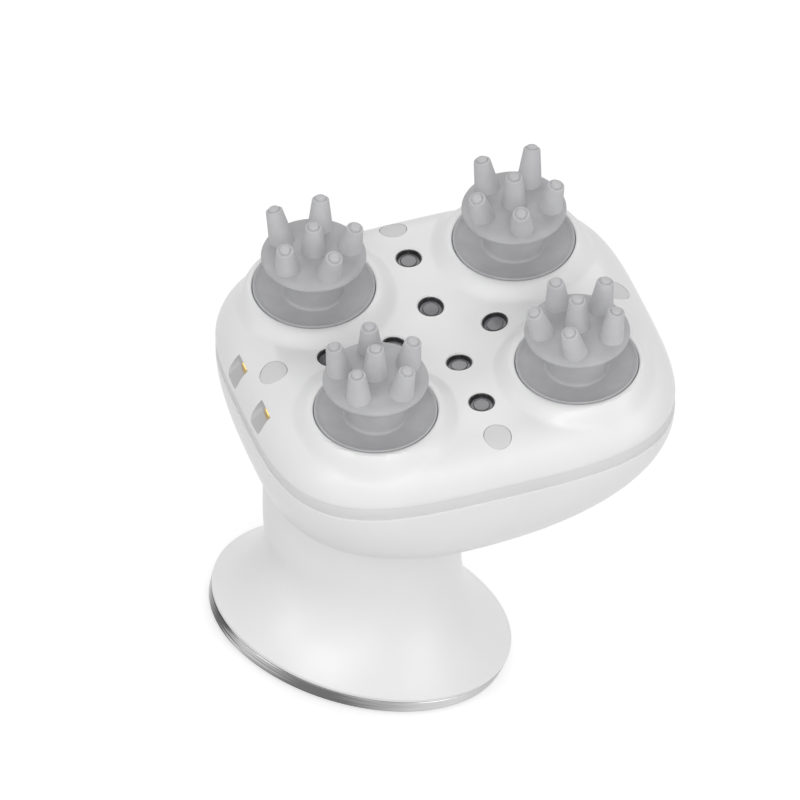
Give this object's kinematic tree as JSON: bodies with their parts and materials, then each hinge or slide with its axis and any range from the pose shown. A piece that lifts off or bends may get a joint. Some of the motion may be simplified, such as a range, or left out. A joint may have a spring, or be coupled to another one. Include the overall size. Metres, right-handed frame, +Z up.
{
  "type": "electric scalp massager",
  "caption": "Hand-held electric scalp massager: a leaning rounded head with turning soft-fingered massage heads, on a waisted handle that flares into an oval foot with a bright ring.",
  "frame": {"origin": "middle of the sole's flat underside, on the surface the massager stands on", "axes": "+Z up; +X towards the raised side of the leaning head, away from the charging contacts; +Y completes the right-handed frame; symmetric about XZ apart from the turned fingers"},
  "size_m": [0.0949, 0.0866, 0.1191],
  "materials": {
    "white_shell": "satin white moulding",
    "grey_band": "light grey satin moulding",
    "bright_ring": "bright plated ring",
    "grey_silicone": "matt soft grey silicone",
    "smoked_lens": "smoked dark lens",
    "zinc_steel": "zinc plated steel",
    "gold_plate": "gold plated contact",
    "circuit_board": "solder resist green",
    "diode_resin": "pale resin",
    "inner_plastic": "plain grey moulding",
    "bronze_bush": "sintered bronze",
    "black_seal": "black rubber",
    "cell_wrap": "blue cell wrap",
    "dark_plastic": "black plastic",
    "gear_plastic": "natural acetal"
  },
  "bodies": {
    "housing": {"top_cover": "white_shell", "seam_gasket": "grey_band", "lower_housing": "white_shell", "handle_shell": "white_shell", "base_ring": "bright_ring", "base_cap": "white_shell", "sole_pad": "grey_silicone", "led_windows": "smoked_lens", "screw_plugs": "white_shell", "cover_screws": "zinc_steel", "charge_contacts": "gold_plate", "led_board": "circuit_board", "light_diodes": "diode_resin", "gear_case": "inner_plastic", "gear_plate": "inner_plastic", "sun_pin": "zinc_steel", "lower_bushes": "bronze_bush", "upper_bushes": "bronze_bush", "lip_seals": "black_seal", "gearbox": "zinc_steel", "motor_can": "zinc_steel", "motor_screws": "zinc_steel", "battery": "cell_wrap", "main_board": "circuit_board", "neck_clamp": "inner_plastic", "neck_screws": "zinc_steel", "switch_board": "circuit_board", "tact_switch": "dark_plastic", "cap_screws": "zinc_steel"},
    "head_1": {"spindle_1": "zinc_steel", "output_gear_1": "gear_plastic", "head_core_1": "inner_plastic", "massage_pad_1": "grey_silicone"},
    "head_2": {"spindle_2": "zinc_steel", "output_gear_2": "gear_plastic", "head_core_2": "inner_plastic", "massage_pad_2": "grey_silicone"},
    "head_3": {"spindle_3": "zinc_steel", "output_gear_3": "gear_plastic", "head_core_3": "inner_plastic", "massage_pad_3": "grey_silicone"},
    "head_4": {"spindle_4": "zinc_steel", "output_gear_4": "gear_plastic", "head_core_4": "inner_plastic", "massage_pad_4": "grey_silicone"},
    "sun": {"sun_gear": "gear_plastic"},
    "pinion": {"motor_pinion": "zinc_steel"},
    "button": {"power_button": "grey_band"}
  },
  "joints": [
    {"name": "head_1_spin", "type": "hinge", "parent": "housing", "child": "head_1", "pos_m": [-0.03098, 0.0216, 0.08346], "axis": [-0.3206, 0, 0.9472], "continuous": true},
    {"name": "head_2_spin", "type": "hinge", "parent": "housing", "child": "head_2", "pos_m": [0.01478, 0.0216, 0.09894], "axis": [-0.3206, 0, 0.9472], "continuous": true},
    {"name": "head_3_spin", "type": "hinge", "parent": "housing", "child": "head_3", "pos_m": [0.01478, -0.0216, 0.09894], "axis": [-0.3206, 0, 0.9472], "continuous": true},
    {"name": "head_4_spin", "type": "hinge", "parent": "housing", "child": "head_4", "pos_m": [-0.03098, -0.0216, 0.08346], "axis": [-0.3206, 0, 0.9472], "continuous": true},
    {"name": "sun_spin", "type": "hinge", "parent": "housing", "child": "sun", "pos_m": [-0.0081, 0, 0.0912], "axis": [-0.3206, 0, 0.9472], "continuous": true},
    {"name": "pinion_spin", "type": "hinge", "parent": "housing", "child": "pinion", "pos_m": [-0.02685, 0, 0.08485], "axis": [-0.3206, 0, 0.9472], "continuous": true},
    {"name": "button_press", "type": "slide", "parent": "housing", "child": "button", "axis": [0, 0, 1], "range_m": [0, 0.0006], "stiffness_N_per_m": 2500, "springref_m": -0.0003}
  ],
  "couplings": [
    {"joint": "head_2_spin", "follows": "head_1_spin", "ratio": 1},
    {"joint": "head_3_spin", "follows": "head_1_spin", "ratio": 1},
    {"joint": "head_4_spin", "follows": "head_1_spin", "ratio": 1},
    {"joint": "sun_spin", "follows": "head_1_spin", "ratio": -0.8},
    {"joint": "pinion_spin", "follows": "head_1_spin", "ratio": 4.48}
  ]
}
